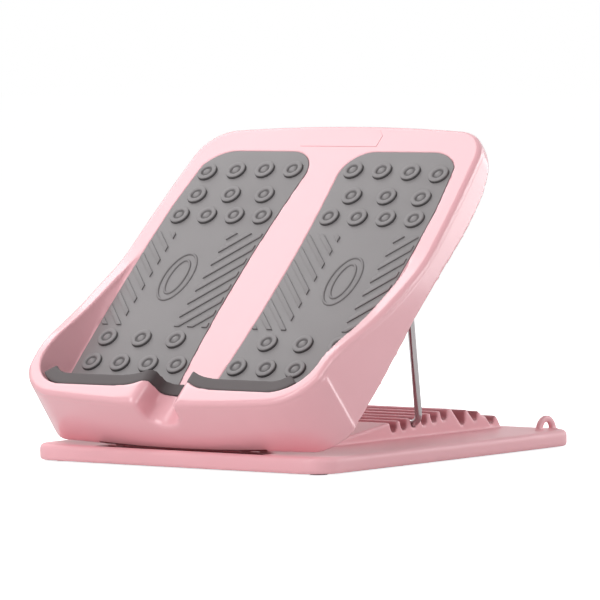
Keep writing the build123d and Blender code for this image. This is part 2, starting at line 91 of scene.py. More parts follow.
def add_node(tree, kind, place=(0, 0), **settings):
    node = tree.nodes.new(kind)
    node.location = place
    for name, value in settings.items():
        setattr(node, name, value)
    return node


def set_inputs(node, **values):
    for name, value in values.items():
        node.inputs[name.replace("_", " ")].default_value = value
    return node


def shader_group(name, inputs, outputs):
    """New shader node group with named sockets; returns its tree, input node and output node."""
    tree = bpy.data.node_groups.new(name, "ShaderNodeTree")
    for label, kind, default in inputs:
        socket = tree.interface.new_socket(label, in_out="INPUT", socket_type=kind)
        if default is not None:
            socket.default_value = default
    for label, kind in outputs:
        tree.interface.new_socket(label, in_out="OUTPUT", socket_type=kind)
    entry = add_node(tree, "NodeGroupInput", (-900, 0))
    return tree, entry, add_node(tree, "NodeGroupOutput", (700, 0))


FLOAT = "NodeSocketFloat"
COLOUR = "NodeSocketColor"


def moulded_grain_group():
    """Fine spark-eroded grain of a moulded part: height, roughness and a slightly clouded colour."""
    inputs = [
        ("Colour", COLOUR, (0.8, 0.5, 0.5, 1.0)),
        ("Cloud Colour", COLOUR, (0.7, 0.4, 0.4, 1.0)),
        ("Clouding", FLOAT, 0.2),
        ("Grain Size", FLOAT, 900.0),
        ("Roughness", FLOAT, 0.35),
        ("Roughness Spread", FLOAT, 0.1),
    ]
    outputs = [("Colour", COLOUR), ("Roughness", FLOAT), ("Height", FLOAT)]
    tree, entry, leave = shader_group("moulded_grain", inputs, outputs)
    link = tree.links.new
    place = add_node(tree, "ShaderNodeTexCoord", (-900, -300))
    cloud = add_node(tree, "ShaderNodeTexNoise", (-650, 200))
    set_inputs(cloud, Scale=14.0, Detail=4.0, Roughness=0.6)
    link(place.outputs["Object"], cloud.inputs["Vector"])
    amount = add_node(tree, "ShaderNodeMath", (-400, 200), operation="MULTIPLY")
    link(cloud.outputs["Fac"], amount.inputs[0])
    link(entry.outputs["Clouding"], amount.inputs[1])
    mix = add_node(tree, "ShaderNodeMix", (-150, 250), data_type="RGBA")
    link(amount.outputs[0], mix.inputs["Factor"])
    link(entry.outputs["Colour"], mix.inputs["A"])
    link(entry.outputs["Cloud Colour"], mix.inputs["B"])
    link(mix.outputs["Result"], leave.inputs["Colour"])
    grain = set_inputs(add_node(tree, "ShaderNodeTexNoise", (-650, -200)), Detail=3.0, Roughness=0.55)
    link(place.outputs["Object"], grain.inputs["Vector"])
    link(entry.outputs["Grain Size"], grain.inputs["Scale"])
    link(grain.outputs["Fac"], leave.inputs["Height"])
    smear = set_inputs(add_node(tree, "ShaderNodeTexNoise", (-650, -500)), Scale=35.0, Detail=5.0)
    link(place.outputs["Object"], smear.inputs["Vector"])
    spread = add_node(tree, "ShaderNodeMath", (-400, -500), operation="MULTIPLY_ADD")
    link(smear.outputs["Fac"], spread.inputs[0])
    link(entry.outputs["Roughness Spread"], spread.inputs[1])
    link(entry.outputs["Roughness"], spread.inputs[2])
    link(spread.outputs[0], leave.inputs["Roughness"])
    return tree


def brushed_group():
    """Drawn lines along one axis of a metal piece: a roughness and a height."""
    inputs = [
        ("Lines", FLOAT, 1500.0),
        ("Along", FLOAT, 20.0),
        ("Roughness", FLOAT, 0.15),
        ("Roughness Spread", FLOAT, 0.15),
    ]
    tree, entry, leave = shader_group("drawn_metal", inputs, [("Roughness", FLOAT), ("Height", FLOAT)])
    link = tree.links.new
    place = add_node(tree, "ShaderNodeTexCoord", (-900, -300))
    scale = add_node(tree, "ShaderNodeCombineXYZ", (-700, -100))
    link(entry.outputs["Lines"], scale.inputs["X"])
    link(entry.outputs["Lines"], scale.inputs["Y"])
    link(entry.outputs["Along"], scale.inputs["Z"])
    stretch = add_node(tree, "ShaderNodeVectorMath", (-500, -200), operation="MULTIPLY")
    link(place.outputs["Object"], stretch.inputs[0])
    link(scale.outputs[0], stretch.inputs[1])
    lines = set_inputs(add_node(tree, "ShaderNodeTexNoise", (-300, -200)), Scale=1.0, Detail=3.0)
    link(stretch.outputs[0], lines.inputs["Vector"])
    spread = add_node(tree, "ShaderNodeMath", (0, -100), operation="MULTIPLY_ADD")
    link(lines.outputs["Fac"], spread.inputs[0])
    link(entry.outputs["Roughness Spread"], spread.inputs[1])
    link(entry.outputs["Roughness"], spread.inputs[2])
    link(spread.outputs[0], leave.inputs["Roughness"])
    link(lines.outputs["Fac"], leave.inputs["Height"])
    return tree


def material(name):
    """New material with only a Principled BSDF; returns material, tree and shader."""
    made = bpy.data.materials.new(name)
    made.use_nodes = True
    return made, made.node_tree, made.node_tree.nodes["Principled BSDF"]


def bump(tree, height, shader, strength, distance):
    node = add_node(tree, "ShaderNodeBump", (-200, -350))
    set_inputs(node, Strength=strength, Distance=distance)
    tree.links.new(height, node.inputs["Height"])
    tree.links.new(node.outputs["Normal"], shader.inputs["Normal"])


def painted_shade_group():
    """Colour darkened by a piece's own crevice attribute: painted shade where crevices would lie in
    shadow.
    """
    inputs = [
        ("Colour", COLOUR, (0.8, 0.5, 0.5, 1.0)),
        ("Painted Shade Colour", COLOUR, (0.1, 0.05, 0.05, 1.0)),
    ]
    tree, entry, leave = shader_group("crevice_shade_paint", inputs, [("Colour", COLOUR)])
    own = add_node(tree, "ShaderNodeAttribute", (-600, -200), attribute_name="painted_crevice_shade")
    mix = add_node(tree, "ShaderNodeMix", (100, 0), data_type="RGBA")
    tree.links.new(own.outputs["Fac"], mix.inputs["Factor"])
    tree.links.new(entry.outputs["Colour"], mix.inputs["A"])
    tree.links.new(entry.outputs["Painted Shade Colour"], mix.inputs["B"])
    tree.links.new(mix.outputs["Result"], leave.inputs["Colour"])
    return tree


def moulded_material(
    name, colour, cloud_colour, deep_shade, clouding, grain, depth, roughness, spread, **shader_inputs
):
    """Plastic or rubber with the moulded grain and painted shade in its crevices."""
    made, tree, shader = material(name)
    group = add_node(tree, "ShaderNodeGroup", (-500, 0), node_tree=moulded_grain)
    group.inputs["Colour"].default_value = colour
    group.inputs["Cloud Colour"].default_value = cloud_colour
    group.inputs["Clouding"].default_value = clouding
    group.inputs["Grain Size"].default_value = grain
    group.inputs["Roughness"].default_value = roughness
    group.inputs["Roughness Spread"].default_value = spread
    shade_paint = add_node(tree, "ShaderNodeGroup", (-250, 150), node_tree=crevice_shade_paint)
    shade_paint.inputs["Painted Shade Colour"].default_value = deep_shade
    tree.links.new(group.outputs["Colour"], shade_paint.inputs["Colour"])
    tree.links.new(shade_paint.outputs["Colour"], shader.inputs["Base Color"])
    tree.links.new(group.outputs["Roughness"], shader.inputs["Roughness"])
    bump(tree, group.outputs["Height"], shader, 0.25, depth)
    set_inputs(shader, **shader_inputs)
    return made


def metal_material(name, colour, lines, roughness, spread):
    """Metal with drawn lines along Z."""
    made, tree, shader = material(name)
    group = add_node(tree, "ShaderNodeGroup", (-500, 0), node_tree=drawn_metal)
    group.inputs["Lines"].default_value = lines
    group.inputs["Roughness"].default_value = roughness
    group.inputs["Roughness Spread"].default_value = spread
    tree.links.new(group.outputs["Roughness"], shader.inputs["Roughness"])
    bump(tree, group.outputs["Height"], shader, 0.08, 0.00005)
    shader.inputs["Base Color"].default_value = colour
    shader.inputs["Metallic"].default_value = 1.0
    return made


moulded_grain = moulded_grain_group()
crevice_shade_paint = painted_shade_group()
drawn_metal = brushed_group()

# The dark colours given to moulded_material are painted shade, mixed in where a piece's crevice
# attribute marks it.
pink_deep_shade = srgb(120, 48, 52)
deck_plastic = moulded_material(
    "deck_pink_plastic", srgb(238, 177, 185), srgb(234, 170, 178), pink_deep_shade,
    0.35, 1400.0, 0.00005, 0.30, 0.08,
    Coat_Weight=0.65, Coat_Roughness=0.10,
)
base_plastic = moulded_material(
    "base_pink_plastic", srgb(241, 184, 191), srgb(236, 176, 184), pink_deep_shade,
    0.35, 1400.0, 0.00005, 0.42, 0.08,
    Specular_IOR_Level=0.32, Coat_Weight=0.12, Coat_Roughness=0.15,
)
pad_rubber = moulded_material(
    "pad_grey_rubber", srgb(143, 139, 140), srgb(133, 129, 130), srgb(52, 49, 50),
    0.5, 1100.0, 0.00012, 0.50, 0.12,
    Specular_IOR_Level=0.35,
)
strip_rubber = moulded_material(
    "strip_dark_rubber", srgb(92, 85, 86), srgb(82, 76, 77), srgb(40, 36, 37),
    0.5, 1100.0, 0.00012, 0.55, 0.12,
    Specular_IOR_Level=0.35,
)
foot_rubber = moulded_material(
    "foot_black_rubber", srgb(42, 41, 42), srgb(33, 32, 33), srgb(20, 20, 20),
    0.5, 900.0, 0.00012, 0.6, 0.12,
)
plated_wire = metal_material("plated_wire_steel", srgb(184, 179, 180), 1800.0, 0.08, 0.12)
zinc_steel = metal_material("zinc_steel", srgb(196, 197, 200), 900.0, 0.28, 0.16)

# ---------------------------------------------------------------- mesh helpers


def new_object(name, mesh):
    made = bpy.data.objects.new(name, mesh)
    bpy.context.scene.collection.objects.link(made)
    return made


def baked(name, source):
    """Plain mesh object of an object with its modifiers applied; the source is removed."""
    graph = bpy.context.evaluated_depsgraph_get()
    mesh = bpy.data.meshes.new_from_object(source.evaluated_get(graph), depsgraph=graph)
    mesh.name = name
    for other in list(bpy.data.objects):
        if other == source:
            bpy.data.objects.remove(other)
    return new_object(name, mesh)


def merged_copy(node, place):
    """Copy of a CAD node's mesh with its loose triangles joined, moved by a matrix."""
    mesh = nodes[node].data.copy()
    made = bmesh.new()
    made.from_mesh(mesh)
    bmesh.ops.remove_doubles(made, verts=made.verts, dist=2e-6)
    made.transform(place)
    made.to_mesh(mesh)
    made.free()
    mesh.materials.clear()
    return mesh


def dress(piece, look, body, replaced=(), angle=40.0):
    """Material, smooth shading and body of a finished piece; the CAD nodes it replaces are hidden."""
    piece.data.materials.clear()
    piece.data.materials.append(look)
    piece.data.shade_smooth()
    if angle:
        piece.data.set_sharp_from_angle(angle=math.radians(angle))
    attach(piece, body)
    if replaced:
        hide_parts(*replaced)
    return piece


def relaxed(mesh, weight, rounds):
    """Pull each vertex to the mean of its neighbours, by a weight per vertex."""
    count = len(mesh.vertices)
    place = corners_of(mesh)
    ends = np.empty(len(mesh.edges) * 2, np.int32)
    mesh.edges.foreach_get("vertices", ends)
    ends = ends.reshape(-1, 2)
    chosen = weight(place)
    keep = (chosen[ends[:, 0]] > 0) | (chosen[ends[:, 1]] > 0)
    start, stop = ends[keep, 0], ends[keep, 1]
    degree = np.bincount(start, minlength=count) + np.bincount(stop, minlength=count)
    degree = np.maximum(degree, 1)[:, None]
    for _ in range(rounds):
        total = np.zeros_like(place)
        for axis in range(3):
            total[:, axis] = np.bincount(start, place[stop, axis], count)
            total[:, axis] += np.bincount(stop, place[start, axis], count)
        place += chosen[:, None] * (total / degree - place)
    move_corners(mesh, place)


def corners_of(mesh, kind="co"):
    """Places or normals of a mesh's corners as an array."""
    values = np.empty(len(mesh.vertices) * 3, np.float32)
    mesh.vertices.foreach_get(kind, values)
    return values.reshape(-1, 3).astype(float)


def move_corners(mesh, places):
    mesh.vertices.foreach_set("co", places.astype(np.float32).ravel())
    mesh.update()


def paint_crevice_shade(mesh, amount):
    """Store how much painted shade each corner gets, from 0 to 1."""
    own = mesh.attributes.new("painted_crevice_shade", "FLOAT", "POINT")
    own.data.foreach_set("value", np.clip(amount, 0, 1).astype(np.float32))


def moulded(name, node, voxel, rounds, place=None, faces=None, shape=None):
    """Softly rounded moulding of a CAD node: remeshed in small cells, relaxed, then shaped."""
    place = place or Matrix.Identity(4)
    source = new_object(name + "_blank", merged_copy(node, place.inverted()))
    cells = source.modifiers.new("cells", "REMESH")
    cells.mode = "VOXEL"
    cells.voxel_size = voxel
    piece = baked(name, source)
    relaxed(piece.data, lambda co: np.full(len(co), 0.5), rounds)
    if shape:
        shape(piece.data)
    if faces:
        triangles = sum(len(p.vertices) - 2 for p in piece.data.polygons)
        if triangles > faces:
            thin = piece.modifiers.new("thin", "DECIMATE")
            thin.ratio = faces / triangles
            piece = baked(name, piece)
    piece.data.transform(place)
    return piece


# ---------------------------------------------------------------- mouldings

RIM_PLACES = [(0.048, 0.0385), (0.090, 0.0303), (0.130, 0.0178), (0.180, 0.0066), (0.236, 0.0)]
RIM_SLOPES = [0.0, -0.27, -0.27, -0.17, 0.0]
HEEL_WALL = 0.015
NOSE_LENGTH = 0.0195
NOSE_SPREAD = 0.028
CHANNEL_FLOOR = 0.0065
CHANNEL_SPREAD = 0.0045
CHANNEL_ROUNDS = 26
MOULDING_CELL = 0.0013
MOULDING_FACES = 195000
PLATE_MIDDLE = 0.014154
TROUGH_HALF = 0.0972

# Outer edge of the pads and foot of the side walls: half widths through two ends and a middle.
PAD_EDGE = ([(0.1508, 0.010), (0.1508, 0.357)], (0.1568, 0.185))
WALL_FOOT = ([(0.1445, 0.363), (0.156, 0.015)], (0.160, 0.215))
FOOT_GAP = 0.0008

# Groove under the rim: how far below the top line, how wide and how deep.
BEAD_DROP = 0.0058
BEAD_WIDTH = 0.0010
BEAD_DEPTH = 0.00055

# Crease of the heel corners, from the deck's lower edge up to the rim.
CREASE_LOW = (0.1730, 0.0350)
CREASE_LEAN = (0.0045, 0.0060)
CREASE_WIDTH = 0.0028
CREASE_HEIGHT = 0.0009
SHELL_LOW = 0.0242
SHELL_HEIGHT = 0.0627


def smooth_step(value, low, high):
    share = np.clip((value - low) / (high - low), 0, 1)
    return share * share * (3 - 2 * share)


def bowed_edge(y, ends, middle):
    """Half width of an edge bowed through its two ends and its middle, at each y."""
    (x1, y1), (x2, y2) = ends
    xm, ym = middle
    whole = np.array([[2 * x1, 2 * y1, 1], [2 * x2, 2 * y2, 1], [2 * xm, 2 * ym, 1]])
    cx, cy, rest = np.linalg.solve(whole, [x1 ** 2 + y1 ** 2, x2 ** 2 + y2 ** 2, xm ** 2 + ym ** 2])
    radius = math.sqrt(rest + cx ** 2 + cy ** 2)
    return cx + np.sqrt(np.maximum(radius ** 2 - (y - cy) ** 2, 0))


def rim_height(y):
    """Height of the rim's top line above the tray at each y."""
    height = np.full(len(y), RIM_PLACES[0][1])
    for index in range(len(RIM_PLACES) - 1):
        (y0, z0), (y1, z1) = RIM_PLACES[index], RIM_PLACES[index + 1]
        span = y1 - y0
        t = np.clip((y - y0) / span, 0, 1)
        m0, m1 = RIM_SLOPES[index] * span, RIM_SLOPES[index + 1] * span
        curve = (2 * t ** 3 - 3 * t ** 2 + 1) * z0 + (t ** 3 - 2 * t ** 2 + t) * m0
        curve += (3 * t ** 2 - 2 * t ** 3) * z1 + (t ** 3 - t ** 2) * m1
        height = np.where(y >= y0, curve, height)
    return height


def near_channel(co):
    """Weight round the finger channel and its shoulders."""
    x, y, z = co[:, 0], co[:, 1], co[:, 2]
    side = np.clip((0.046 - np.abs(x)) / 0.014, 0, 1)
    depth = np.clip((0.046 - y) / 0.008, 0, 1)
    up = np.clip((z - 0.001) / 0.004, 0, 1)
    return 0.5 * side * depth * up


def shape_deck(mesh):
    """Widen the finger channel, lean the side walls in, cut the rim's bead, raise the creases and paint
    shade along the heel wall's lower edge.
    """
    co = corners_of(mesh)
    x, y, z = co.T
    across = np.abs(x)
    widen = smooth_step(across, 0.0, 0.014) * (1 - smooth_step(across, 0.022, 0.052))
    widen *= (1 - smooth_step(y, 0.044, 0.056)) * smooth_step(z, 0.0015, 0.006)
    pad_edge = bowed_edge(y, *PAD_EDGE)
    wall_foot = bowed_edge(y, *WALL_FOOT)
    height = np.maximum(rim_height(y), 0.001)
    lean = np.clip((across - pad_edge) / (wall_foot - pad_edge), 0, 1)
    lean *= 1 - smooth_step(across, wall_foot + 0.002, wall_foot + 0.008)
    low = np.clip(1 - z / height, 0, 1) ** 1.5 * smooth_step(z, -0.0012, -0.0002)
    lean *= low * smooth_step(height, 0.002, 0.012)
    lean *= smooth_step(y, 0.030, 0.050)
    shift = np.maximum(wall_foot - pad_edge - FOOT_GAP, 0.0)
    co[:, 0] = np.sign(x) * (across + CHANNEL_SPREAD * widen - shift * lean)
    normal = corners_of(mesh, "normal")
    outward = normal[:, 0] * x * 2 + normal[:, 1] * (y - 0.2)
    outside = (outward > 0.05) & ((across > 0.163) | (y < 0.016) | (y > 0.372)) & (z > -0.020)
    below = rim_height(y) - z
    bead = np.exp(-((below - BEAD_DROP) / BEAD_WIDTH) ** 2) * outside * (1 - widen) * BEAD_DEPTH
    level = np.clip((z + SHELL_LOW) / SHELL_HEIGHT, 0, 1)
    off_x = across - CREASE_LOW[0] + CREASE_LEAN[0] * level
    off_y = y - CREASE_LOW[1] - CREASE_LEAN[1] * level
    away = np.hypot(off_x, off_y)
    crease = np.exp(-((away / CREASE_WIDTH) ** 2)) * (outward > 0.05)
    crease = crease * smooth_step(below, 0.006, 0.010) * CREASE_HEIGHT
    co += normal * (crease - bead)[:, None]
    # Painted shade along the heel wall's lower edge above the base's trough, standing in for the shadow
    # in that gap.
    slot = (across < TROUGH_HALF) * (y < 0.022) * (1 - smooth_step(z, -0.0236, -0.0228))
    paint_crevice_shade(mesh, 0.95 * slot)
    move_corners(mesh, co)
    relaxed(mesh, near_channel, CHANNEL_ROUNDS)


def shape_base(mesh):
    """Round the plate's edges and paint shade into its trough and notches."""
    def near_edge(co):
        x, y, z = np.abs(co[:, 0]), np.abs(co[:, 1] - PLATE_MIDDLE), co[:, 2]
        edge = np.maximum(smooth_step(x, 0.160, 0.166), smooth_step(y, 0.196, 0.202))
        return 0.5 * edge * (1 - smooth_step(z, 0.0172, 0.0176)) * smooth_step(z, 0.0020, 0.0030)
    relaxed(mesh, near_edge, 2)
    x, y, z = corners_of(mesh).T
    # Painted shade: near black in the trough under the deck's lower edge, and darker deeper down inside
    # the rack's notches.
    trough = (np.abs(x) < TROUGH_HALF) & (y > PLATE_MIDDLE - 0.2004) & (y < PLATE_MIDDLE - 0.1780)
    deep_shade = trough * smooth_step(-z, -0.0166, -0.0152)
    line = 0.0335 + (y - PLATE_MIDDLE + 0.0075) * 0.0762
    notch = (np.abs(x) < 0.0992) & (z > 0.022)
    notch &= (y > PLATE_MIDDLE - 0.006) & (y < PLATE_MIDDLE + 0.172)
    shade = notch * 0.45 * smooth_step(line - z, 0.0012, 0.0060)
    paint_crevice_shade(mesh, np.maximum(deep_shade * 0.95, shade))


deck = moulded(
    "deck_moulding", "deck_shell", MOULDING_CELL, 2, deck_place, MOULDING_FACES, shape_deck
)
dress(deck, deck_plastic, "deck", ["deck_shell"], None)

plate = moulded(
    "base_moulding", "base_plate", MOULDING_CELL, 2, None, MOULDING_FACES, shape_base
)
dress(plate, base_plastic, "base", ["base_plate"], None)

# ---------------------------------------------------------------- heel linings

LINING_THICKNESS = 0.014
LINING_TOP = 0.0376
LINING_MIDDLE = 0.006
LINING_CORNER = (0.116, 0.055)
LINING_ROUND = 0.040
LINING_END = 41.0
LINING_SHADED = 0.060
LINING_CELL = 0.0009
LINING_PRESS = 0.0006


def lining_outline(sign):
    """Band along the heel wall, from the finger channel to the tray's round corner."""
    corner_x, corner_y = LINING_CORNER
    along = np.concatenate([np.linspace(LINING_MIDDLE, 0.066, 31), np.linspace(0.070, corner_x, 8)])
    swell = NOSE_LENGTH * np.exp(-((along / NOSE_SPREAD) ** 2))
    turns = np.radians(np.linspace(-90 + 3, -LINING_END, 14))
    outer = [(x, HEEL_WALL + rise) for x, rise in zip(along, swell)]
    inner = [(x, HEEL_WALL + LINING_THICKNESS + rise) for x, rise in zip(along, swell)]
    for turn in turns:
        for loop, radius in ((outer, LINING_ROUND), (inner, LINING_ROUND - LINING_THICKNESS)):
            loop.append((corner_x + radius * math.cos(turn), corner_y + radius * math.sin(turn)))
    loop = outer + inner[::-1]
    return [(sign * x, y) for x, y in (loop if sign > 0 else loop[::-1])]


def prism(name, loop, low, high):
    """Closed upright solid on a flat outline."""
    made = bmesh.new()
    bottom = [made.verts.new((x, y, low)) for x, y in loop]
    top = [made.verts.new((x, y, high)) for x, y in loop]
    made.faces.new(bottom[::-1])
    made.faces.new(top)
    for i in range(len(loop)):
        j = (i + 1) % len(loop)
        made.faces.new((bottom[i], bottom[j], top[j], top[i]))
    bmesh.ops.triangulate(made, faces=[f for f in made.faces if len(f.verts) > 4])
    mesh = bpy.data.meshes.new(name)
    made.to_mesh(mesh)
    made.free()
    return mesh


def channel_cutter():
    """Finger channel as the linings follow it: round floor, upright sides and rolled lips."""
    radius, lip, top = 0.015 + CHANNEL_SPREAD, 0.009, 0.0385
    right = []
    for step in range(13):
        turn = math.radians(90 * step / 12)
        right.append((radius * math.sin(turn), CHANNEL_FLOOR + 0.0175 * (1 - math.cos(turn))))
    for step in range(9):
        turn = math.radians(90 * step / 8)
        right.append((radius + 0.001 + lip * (1 - math.cos(turn)), top - lip + lip * math.sin(turn)))
    right.append((right[-1][0], 0.08))
    loop = right + [(-x, z) for x, z in right[:0:-1]]
    mesh = prism("channel_cutter", loop, -0.060, 0.020)
    mesh.transform(Matrix.Rotation(math.radians(90), 4, "X"))
    return mesh


def heel_lining(side, sign):
    """Rubber lining of the heel wall, dipping into the finger channel."""
    cutter = new_object("channel_cutter", channel_cutter())
    cutter.data.transform(Matrix.Translation((0, 0, -LINING_PRESS)))
    blank = new_object("lining_blank", prism("lining_blank", lining_outline(sign), 0.0, LINING_TOP))
    cut = blank.modifiers.new("cut", "BOOLEAN")
    cut.operation = "DIFFERENCE"
    cut.object = cutter
    cells = blank.modifiers.new("cells", "REMESH")
    cells.mode = "VOXEL"
    cells.voxel_size = LINING_CELL
    lining = baked("heel_lining_" + side, blank)
    bpy.data.objects.remove(cutter)
    relaxed(lining.data, lambda co: np.full(len(co), 0.5), 4)
    y = corners_of(lining.data)[:, 1]
    normal = corners_of(lining.data, "normal")
    # Painted shade on the lining's downward-facing faces near the heel.
    paint_crevice_shade(lining.data, 0.5 * smooth_step(-normal[:, 2], -0.8, -0.3) * (y < LINING_SHADED))
    lining.data.transform(deck_place)
    dress(lining, strip_rubber, "deck", ["heel_strip_" + side], None)


heel_lining("left", -1)
heel_lining("right", 1)

# ---------------------------------------------------------------- foot pads

PAD_TOP = 0.0003
NUB_RADIUS = 0.0105
NUB_HEIGHT = 0.0029
NUB_ROWS = [
    (0.3310, 4, 0.0355, 0.1365, 0.0045),
    (0.2970, 3, 0.0515, 0.1320, 0.0015),
    (0.2690, 4, 0.0395, 0.1380, 0.0010),
    (0.1070, 3, 0.0535, 0.1350, 0.0),
    (0.0755, 4, 0.0350, 0.1360, 0.0),
]
RIDGE_PITCH = 0.0169
RIDGE_WIDTH = 0.0066
RIDGE_HEIGHT = 0.0016
RIDGE_MIDDLE = 0.0972
RIDGE_REACH = 0.0320
RIDGE_FIRST = 0.1018
RIDGE_LOW = 0.124
RIDGE_HIGH = 0.246
OVALS = [(0.0165, 0.0300), (0.0095, 0.0215)]
OVAL_PLACE = 0.188
OVAL_WIDTH = 0.0030
OVAL_HEIGHT = 0.0013


def pad_loop(node):
    """Corners of a pad's top outline, lying flat, in order."""
    mesh = merged_copy(node, deck_flat)
    made = bmesh.new()
    made.from_mesh(mesh)
    level = [f for f in made.faces if f.normal.z > 0.99]
    top = [f for f in level if abs(f.calc_center_median().z - PAD_TOP) < 1e-4]
    chosen = set(top)
    border = [e for e in made.edges if len([f for f in e.link_faces if f in chosen]) == 1]
    following = {}
    for edge in border:
        for corner in edge.verts:
            following.setdefault(corner.index, []).append(edge.other_vert(corner).index)
    made.verts.ensure_lookup_table()
    loops = []
    unseen = set(following)
    while unseen:
        first = min(unseen)
        loop = [first]
        unseen.discard(first)
        here = first
        while True:
            onward = [i for i in following[here] if i in unseen]
            if not onward:
                break
            here = onward[0]
            unseen.discard(here)
            loop.append(here)
        loops.append([made.verts[i].co.to_2d() for i in loop])
    made.free()
    bpy.data.meshes.remove(mesh)
    longest = max(loops, key=lambda loop: sum((a - b).length for a, b in zip(loop, loop[1:])))
    area = sum(a.cross(b) for a, b in zip(longest, longest[1:] + longest[:1]))
    return longest if area > 0 else longest[::-1]


def inset_loop(loop, distance):
    """Closed loop drawn in by a distance along its corner bisectors."""
    moved = []
    count = len(loop)
    for index, here in enumerate(loop):
        before, after = loop[index - 1], loop[(index + 1) % count]
        one = (here - before).normalized()
        two = (after - here).normalized()
        normal = Vector((-one.y - two.y, one.x + two.x))
        if normal.length < 1e-6:
            normal = Vector((-one.y, one.x))
        normal.normalize()
        slant = max(0.5, normal.dot(Vector((-one.y, one.x))))
        moved.append(here + normal * distance / slant)
    return moved


def pad_slab(name, loop, bottom):
    """Rubber slab under a pad's nubs, with a rounded top edge."""
    made = bmesh.new()
    radius = 0.0009
    rings = [(0.0, bottom)]
    for step in range(5):
        turn = math.pi / 2 * step / 4
        rings.append((radius * (1 - math.cos(turn)), PAD_TOP - radius * (1 - math.sin(turn))))
    previous = None
    for inset, height in rings:
        ring = [made.verts.new((p.x, p.y, height)) for p in inset_loop(loop, inset)]
        if previous is None:
            made.faces.new(ring[::-1])
        else:
            count = len(ring)
            for i in range(count):
                j = (i + 1) % count
                made.faces.new((previous[i], previous[j], ring[j], ring[i]))
        previous = ring
    made.faces.new(previous)
    mesh = bpy.data.meshes.new(name)
    bmesh.ops.triangulate(made, faces=[f for f in made.faces if len(f.verts) > 4])
    made.to_mesh(mesh)
    made.free()
    return mesh


def lathe(name, section, steps):
    """Closed turned mesh from (radius, height) points that start and end on the axis."""
    made = bmesh.new()
    rings = []
    for radius, height in section:
        if radius == 0:
            rings.append([made.verts.new((0, 0, height))])
            continue
        ring = []
        for step in range(steps):
            turn = 2 * math.pi * step / steps
            ring.append(made.verts.new((radius * math.cos(turn), radius * math.sin(turn), height)))
        rings.append(ring)
    for low, high in zip(rings, rings[1:]):
        for i in range(steps):
            j = (i + 1) % steps
            corners = [low[i % len(low)], low[j % len(low)], high[j % len(high)], high[i % len(high)]]
            unique = []
            for corner in corners:
                if corner not in unique:
                    unique.append(corner)
            made.faces.new(unique)
    bmesh.ops.recalc_face_normals(made, faces=made.faces)
    mesh = bpy.data.meshes.new(name)
    made.to_mesh(mesh)
    made.free()
    return mesh


def nub_section():
    """Massage nub in section: upright side, flat rim, dished ring and a round dome."""
    r, h = NUB_RADIUS, NUB_HEIGHT
    return [
        (0, -0.0006), (r, -0.0006), (r, 0.0), (r - 0.0002, h * 0.70), (r - 0.0005, h * 0.90),
        (r - 0.0010, h), (r - 0.0040, h * 1.02), (r - 0.0044, h * 0.94), (r - 0.0047, h * 0.76),
        (r - 0.0050, h * 0.50), (r - 0.0054, h * 0.42), (r - 0.0060, h * 0.44), (r - 0.0065, h * 0.56),
        (r - 0.0072, h * 0.80), (r - 0.0082, h * 0.97), (r - 0.0094, h * 1.04), (0, h * 1.06),
    ]


def instances_tree(name):
    """Geometry Nodes: a nub on each point of a mesh, made real and given a material."""
    tree = bpy.data.node_groups.new(name, "GeometryNodeTree")
    tree.interface.new_socket("Geometry", in_out="INPUT", socket_type="NodeSocketGeometry")
    tree.interface.new_socket("Nub", in_out="INPUT", socket_type="NodeSocketObject")
    tree.interface.new_socket("Size", in_out="INPUT", socket_type="NodeSocketFloat").default_value = 1.0
    tree.interface.new_socket("Material", in_out="INPUT", socket_type="NodeSocketMaterial")
    tree.interface.new_socket("Geometry", in_out="OUTPUT", socket_type="NodeSocketGeometry")
    entry = add_node(tree, "NodeGroupInput", (-600, 0))
    leave = add_node(tree, "NodeGroupOutput", (600, 0))
    shape = add_node(tree, "GeometryNodeObjectInfo", (-400, -200))
    place = add_node(tree, "GeometryNodeInstanceOnPoints", (-150, 0))
    real = add_node(tree, "GeometryNodeRealizeInstances", (100, 0))
    paint = add_node(tree, "GeometryNodeSetMaterial", (350, 0))
    link = tree.links.new
    link(entry.outputs["Geometry"], place.inputs["Points"])
    link(entry.outputs["Nub"], shape.inputs["Object"])
    link(shape.outputs["Geometry"], place.inputs["Instance"])
    link(entry.outputs["Size"], place.inputs["Scale"])
    link(place.outputs["Instances"], real.inputs["Geometry"])
    link(real.outputs["Geometry"], paint.inputs["Geometry"])
    link(entry.outputs["Material"], paint.inputs["Material"])
    link(paint.outputs["Geometry"], leave.inputs["Geometry"])
    return tree


def ridge_loops(outline, sign):
    """Flat outlines of the slanted ridges on one pad, cut to the pad and to their field."""
    border = inset_loop(outline, 0.0018)
    fields = []
    for way in (-1, 1):
        inner = RIDGE_MIDDLE + way * RIDGE_REACH
        outer = RIDGE_MIDDLE + way * 0.09
        for step in range(-1, 10):
            low = RIDGE_FIRST + step * RIDGE_PITCH
            rise = abs(outer - inner)
            corners = [
                (inner, low), (outer, low + rise),
                (outer, low + rise + RIDGE_WIDTH), (inner, low + RIDGE_WIDTH),
            ]
            corners = [Vector((sign * x, y)) for x, y in corners]
            polygon = clip_between(corners, RIDGE_LOW, RIDGE_HIGH)
            polygon = clip_inside(polygon, border)
            if polygon and loop_area(polygon) > 1.2e-5:
                fields.append(polygon)
    return fields


def loop_area(loop):
    return abs(sum(a.cross(b) for a, b in zip(loop, loop[1:] + loop[:1]))) / 2


def clip_half(loop, point, normal):
    """Part of a polygon on the normal's side of a line."""
    kept = []
    for a, b in zip(loop, loop[1:] + loop[:1]):
        da, db = (a - point).dot(normal), (b - point).dot(normal)
        if da >= 0:
            kept.append(a)
        if (da < 0) != (db < 0):
            kept.append(a.lerp(b, da / (da - db)))
    return kept


def clip_between(loop, low, high):
    loop = clip_half(loop, Vector((0, low)), Vector((0, 1)))
    return clip_half(loop, Vector((0, high)), Vector((0, -1)))


